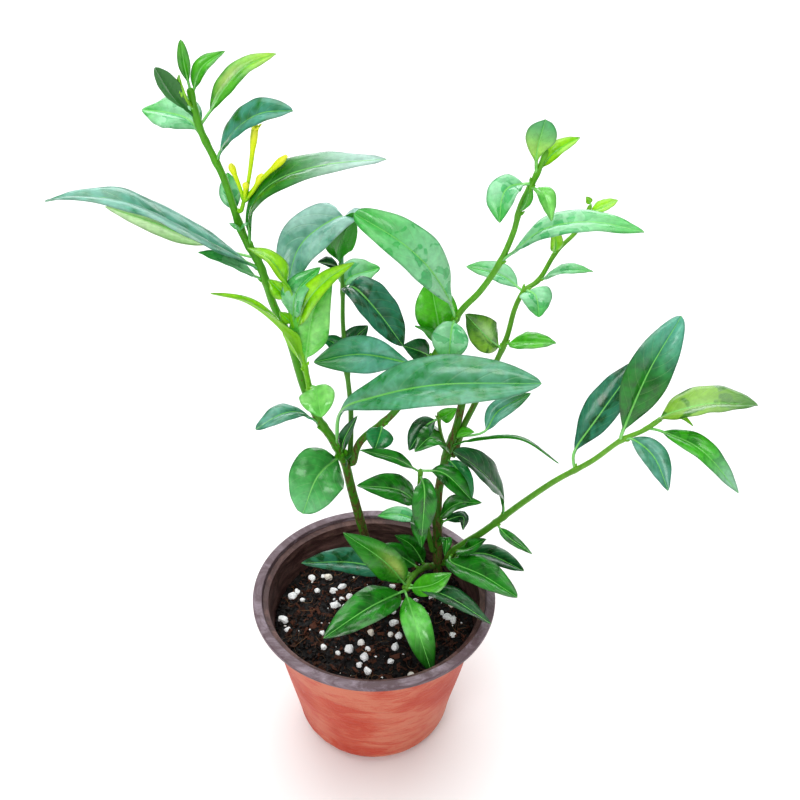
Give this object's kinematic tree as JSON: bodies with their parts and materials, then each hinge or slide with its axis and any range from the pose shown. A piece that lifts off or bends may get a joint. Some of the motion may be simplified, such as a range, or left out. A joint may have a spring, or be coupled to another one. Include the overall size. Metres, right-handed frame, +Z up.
{
  "type": "potted night-blooming jasmine",
  "caption": "Young night-blooming jasmine shrub: leafy stems with small yellow tube flowers, in a round plastic nursery pot of soil with perlite.",
  "frame": {"origin": "centre of the pot's flat underside", "axes": "+Z up along the pot's axis; +X to the right and -Y towards the viewer in the picture"},
  "size_m": [0.3462, 0.15, 0.4411],
  "materials": {
    "pot_plastic": "satin, terracotta coloured, scuffed",
    "soil": "matte, damp, with white perlite",
    "mature_leaf": "slightly glossy",
    "young_leaf": "slightly glossy",
    "flower": "soft"
  },
  "bodies": {
    "root": {"pot": "pot_plastic", "soil_with_perlite": "soil", "left_leader": "mature_leaf", "crossing_branch": "mature_leaf", "back_branch": "mature_leaf", "lime_shoot": "young_leaf", "centre_stem": "mature_leaf", "upper_branch": "mature_leaf", "front_shoot": "mature_leaf", "right_branch": "mature_leaf", "low_rosette": "mature_leaf", "flower_spray": "flower"}
  },
  "joints": []
}
